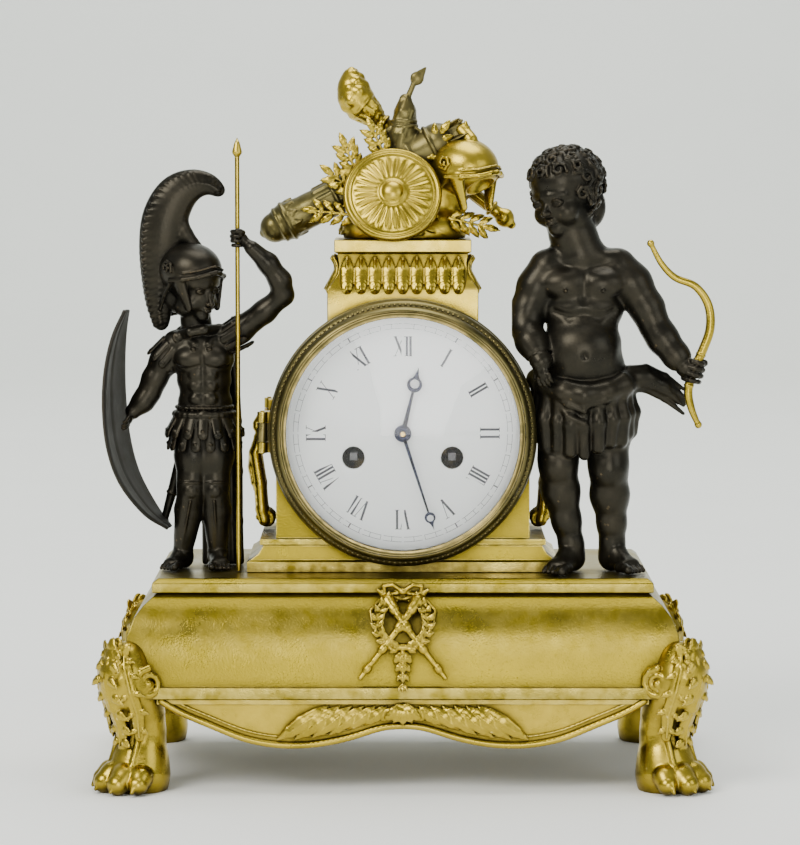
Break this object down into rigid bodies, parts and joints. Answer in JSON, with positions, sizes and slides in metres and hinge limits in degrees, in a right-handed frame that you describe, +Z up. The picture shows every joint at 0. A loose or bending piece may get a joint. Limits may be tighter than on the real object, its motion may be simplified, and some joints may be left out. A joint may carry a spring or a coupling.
{
  "type": "mantel clock",
  "caption": "Bronze mantel clock: a drum movement in an arched case on a flared base with scrolled feet, between a helmeted youth and a child with a bow, with a trophy above.",
  "frame": {"origin": "centre of the footprint, on the surface the feet stand on", "axes": "+Z up, -Y towards the dial side, +X to the right seen from the dial side"},
  "size_m": [0.2662, 0.1582, 0.3067],
  "materials": {
    "gilt_bronze": "fire gilt, warm and slightly worn",
    "dark_bronze": "dark brown patinated bronze",
    "bezel_bronze": "darkened bronze, greenish brown",
    "white_enamel": "white vitreous enamel on copper",
    "blued_steel": "blued",
    "grey_steel": "bright",
    "polished_brass": "polished",
    "clear_glass": "clear",
    "bell_bronze": "turned bell metal"
  },
  "bodies": {
    "clock": {"base_casting": "gilt_bronze", "front_apron": "gilt_bronze", "left_apron": "gilt_bronze", "right_apron": "gilt_bronze", "back_apron": "gilt_bronze", "foot_front_left": "gilt_bronze", "foot_front_right": "gilt_bronze", "foot_rear_left": "gilt_bronze", "foot_rear_right": "gilt_bronze", "centre_mount": "gilt_bronze", "case_step": "gilt_bronze", "case_body": "gilt_bronze", "case_cap": "gilt_bronze", "scroll_left": "gilt_bronze", "scroll_right": "gilt_bronze", "drum": "polished_brass", "dial_plate": "polished_brass", "dial": "white_enamel", "movement_frame": "polished_brass", "bell": "bell_bronze", "bell_stand": "grey_steel", "bezel_hinge": "gilt_bronze", "door_hinge": "gilt_bronze", "warrior": "dark_bronze", "warrior_crest": "dark_bronze", "warrior_shield": "dark_bronze", "warrior_lance": "gilt_bronze", "cupid": "dark_bronze", "cupid_bow": "gilt_bronze", "trophy_arms": "gilt_bronze", "trophy_torch": "gilt_bronze", "trophy_shield": "gilt_bronze"},
    "bezel_frame": {"bezel": "bezel_bronze", "bezel_knuckle": "bezel_bronze", "sight_ring": "bezel_bronze", "bezel_glass": "clear_glass"},
    "rear_door": {"back_door": "polished_brass"},
    "hour_motion": {"hour_hand": "blued_steel", "hour_wheel": "polished_brass"},
    "centre_motion": {"centre_wheel": "polished_brass", "minute_hand": "blued_steel"},
    "minute_motion": {"minute_wheel": "polished_brass"},
    "going_great": {"going_barrel": "polished_brass"},
    "going_arbor": {"going_winding_arbor": "grey_steel"},
    "strike_great": {"strike_barrel": "polished_brass"},
    "strike_arbor": {"strike_winding_arbor": "grey_steel"},
    "going_second": {"second_wheel": "polished_brass"},
    "going_third": {"third_wheel": "polished_brass"},
    "going_escape": {"escape_wheel": "polished_brass"},
    "anchor": {"anchor_and_crutch": "grey_steel"},
    "strike_second": {"strike_second_wheel": "polished_brass", "count_wheel": "polished_brass"},
    "strike_third": {"strike_third_wheel": "polished_brass"},
    "strike_fly": {"fly": "polished_brass"},
    "strike_hammer": {"hammer": "grey_steel"},
    "pendulum_body": {"pendulum": "polished_brass"}
  },
  "joints": [
    {"name": "minute_turn", "type": "hinge", "parent": "clock", "child": "centre_motion", "pos_m": [0, 0, 0.15], "axis": [0, 1, 0], "continuous": true},
    {"name": "hour_turn", "type": "hinge", "parent": "clock", "child": "hour_motion", "pos_m": [0, 0, 0.15], "axis": [0, 1, 0], "continuous": true},
    {"name": "minute_wheel_turn", "type": "hinge", "parent": "clock", "child": "minute_motion", "pos_m": [0, 0, 0.14094], "axis": [0, 1, 0], "continuous": true},
    {"name": "going_barrel_turn", "type": "hinge", "parent": "clock", "child": "going_great", "pos_m": [0.021, 0, 0.1395], "axis": [0, 1, 0], "continuous": true},
    {"name": "second_wheel_turn", "type": "hinge", "parent": "clock", "child": "going_second", "pos_m": [0.01, 0, 0.15988], "axis": [0, 1, 0], "continuous": true},
    {"name": "third_wheel_turn", "type": "hinge", "parent": "clock", "child": "going_third", "pos_m": [-0.00447, 0, 0.16227], "axis": [0, 1, 0], "continuous": true},
    {"name": "escape_wheel_turn", "type": "hinge", "parent": "clock", "child": "going_escape", "pos_m": [0.00001, 0, 0.17178], "axis": [0, 1, 0], "continuous": true},
    {"name": "strike_second_turn", "type": "hinge", "parent": "clock", "child": "strike_second", "pos_m": [-0.02502, 0, 0.16231], "axis": [0, 1, 0], "continuous": true},
    {"name": "strike_barrel_turn", "type": "hinge", "parent": "clock", "child": "strike_great", "pos_m": [-0.021, 0, 0.1395], "axis": [0, 1, 0], "continuous": true},
    {"name": "strike_third_turn", "type": "hinge", "parent": "clock", "child": "strike_third", "pos_m": [-0.01648, 0, 0.17348], "axis": [0, 1, 0], "continuous": true},
    {"name": "fly_turn", "type": "hinge", "parent": "clock", "child": "strike_fly", "pos_m": [-0.01831, 0, 0.18383], "axis": [0, 1, 0], "continuous": true},
    {"name": "going_winding", "type": "hinge", "parent": "clock", "child": "going_arbor", "pos_m": [0.021, 0, 0.1395], "axis": [0, 1, 0], "continuous": true},
    {"name": "strike_winding", "type": "hinge", "parent": "clock", "child": "strike_arbor", "pos_m": [-0.021, 0, 0.1395], "axis": [0, 1, 0], "continuous": true},
    {"name": "pendulum_swing", "type": "hinge", "parent": "clock", "child": "pendulum_body", "pos_m": [0, 0, 0.188], "axis": [0, 1, 0], "range_deg": [-4, 4]},
    {"name": "anchor_swing", "type": "hinge", "parent": "clock", "child": "anchor", "pos_m": [0.00001, 0, 0.18438], "axis": [0, 1, 0], "range_deg": [-4, 4]},
    {"name": "hammer_lift", "type": "hinge", "parent": "clock", "child": "strike_hammer", "pos_m": [0.034, 0, 0.164], "axis": [0, -1, 0], "range_deg": [0, 12]},
    {"name": "bezel_swing", "type": "hinge", "parent": "clock", "child": "bezel_frame", "pos_m": [-0.06, -0.036, 0.15], "axis": [0, 0, -1], "range_deg": [0, 100]},
    {"name": "door_swing", "type": "hinge", "parent": "clock", "child": "rear_door", "pos_m": [-0.06, 0.0393, 0.15], "axis": [0, 0, 1], "range_deg": [0, 110]}
  ],
  "couplings": [
    {"joint": "hour_turn", "follows": "minute_turn", "ratio": 0.083333},
    {"joint": "minute_wheel_turn", "follows": "minute_turn", "ratio": -0.33333},
    {"joint": "going_barrel_turn", "follows": "minute_turn", "ratio": 0.055556},
    {"joint": "second_wheel_turn", "follows": "minute_turn", "ratio": -0.25},
    {"joint": "third_wheel_turn", "follows": "minute_turn", "ratio": -4},
    {"joint": "escape_wheel_turn", "follows": "minute_turn", "ratio": 15},
    {"joint": "strike_barrel_turn", "follows": "strike_second_turn", "ratio": -0.22222},
    {"joint": "strike_third_turn", "follows": "strike_second_turn", "ratio": -4},
    {"joint": "fly_turn", "follows": "strike_second_turn", "ratio": 15},
    {"joint": "anchor_swing", "follows": "pendulum_swing", "ratio": 1}
  ]
}
